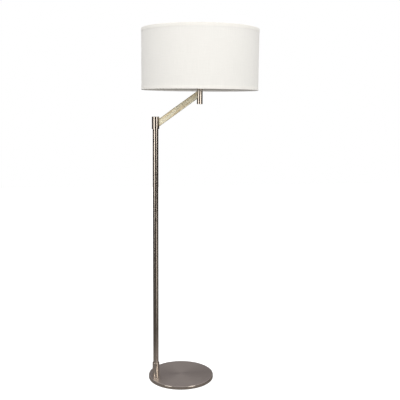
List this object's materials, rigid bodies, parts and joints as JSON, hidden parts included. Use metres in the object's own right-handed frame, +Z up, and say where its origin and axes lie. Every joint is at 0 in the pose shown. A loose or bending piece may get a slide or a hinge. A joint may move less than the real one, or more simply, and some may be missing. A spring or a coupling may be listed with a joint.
{
  "type": "offset floor lamp",
  "caption": "Floor lamp: weighted round base, pole at its edge, inclined arm that swivels on the pole, and a drum shade hung over the base on a harp.",
  "frame": {"origin": "on the floor, under the centre of the round base", "axes": "+Z up along the pole, +X from the pole towards the shade along the arm, -Y towards the lamp's front"},
  "size_m": [0.5079, 0.508, 1.5695],
  "materials": {
    "satin_nickel": "satin brushed nickel",
    "plain_steel": "zinc plated",
    "cast_iron": "rough cast, black paint",
    "felt": "pressed felt",
    "rubber": "moulded rubber",
    "nylon": "natural nylon",
    "linen": "off-white woven linen",
    "shade_liner": "translucent styrene",
    "white_wire_frame": "white powder coat",
    "brass": "plain brass",
    "black_plastic": "moulded phenolic",
    "insulating_card": "fish paper",
    "bulb_cap": "rolled thread",
    "frosted_glass": "inside frosted",
    "flex": "round PVC flex"
  },
  "bodies": {
    "stand": {"felt_pad": "felt", "base_weight": "cast_iron", "base_cover": "satin_nickel", "cord_grommet": "rubber", "base_screws": "plain_steel", "foot_plug": "plain_steel", "foot_collar": "satin_nickel", "collar_grub_screw": "plain_steel", "lower_pole": "satin_nickel", "upper_pole": "satin_nickel", "pole_coupler": "plain_steel", "upper_bush": "nylon", "lower_bush": "nylon", "stop_pin": "plain_steel", "stand_wire": "flex"},
    "head": {"swivel_spigot": "plain_steel", "retaining_ring": "plain_steel", "swivel_sleeve": "satin_nickel", "sleeve_cap": "satin_nickel", "arm_bar": "satin_nickel", "post_tube": "satin_nickel", "post_bottom_cap": "satin_nickel", "post_seat": "satin_nickel", "threaded_nipple": "plain_steel", "harp_saddle": "satin_nickel", "harp": "satin_nickel", "harp_stud": "satin_nickel", "socket_cap": "satin_nickel", "socket_shell": "satin_nickel", "socket_liner": "insulating_card", "switch_block": "black_plastic", "screw_shell": "brass", "centre_contact": "brass", "bulb_tip": "black_plastic", "bulb_screw_base": "bulb_cap", "bulb_globe": "frosted_glass", "head_wire": "flex"},
    "ferrule_left": {"harp_ferrule_left": "satin_nickel"},
    "ferrule_right": {"harp_ferrule_right": "satin_nickel"},
    "knob": {"switch_knob": "black_plastic"},
    "shade": {"shade_fabric": "linen", "shade_liner": "shade_liner", "top_trim": "linen", "bottom_trim": "linen", "top_ring": "white_wire_frame", "bottom_ring": "white_wire_frame", "spider": "white_wire_frame"},
    "finial": {"finial": "satin_nickel"}
  },
  "joints": [
    {"name": "arm_swivel", "type": "hinge", "parent": "stand", "child": "head", "pos_m": [-0.1157, 0, 1.1455], "axis": [0, 0, 1], "range_deg": [-160, 160]},
    {"name": "shade_turn", "type": "hinge", "parent": "head", "child": "shade", "pos_m": [0.0776, 0, 1.549], "axis": [0, 0, 1], "continuous": true},
    {"name": "finial_turn", "type": "hinge", "parent": "head", "child": "finial", "pos_m": [0.0776, 0, 1.5575], "axis": [0, 0, 1], "continuous": true},
    {"name": "switch_turn", "type": "hinge", "parent": "head", "child": "knob", "pos_m": [0.0776, -0.03, 1.3576], "axis": [0, -1, 0], "continuous": true},
    {"name": "ferrule_left_slide", "type": "slide", "parent": "head", "child": "ferrule_left", "axis": [0, 0, 1], "range_m": [0, 0.012]},
    {"name": "ferrule_right_slide", "type": "slide", "parent": "head", "child": "ferrule_right", "axis": [0, 0, 1], "range_m": [0, 0.012]}
  ]
}
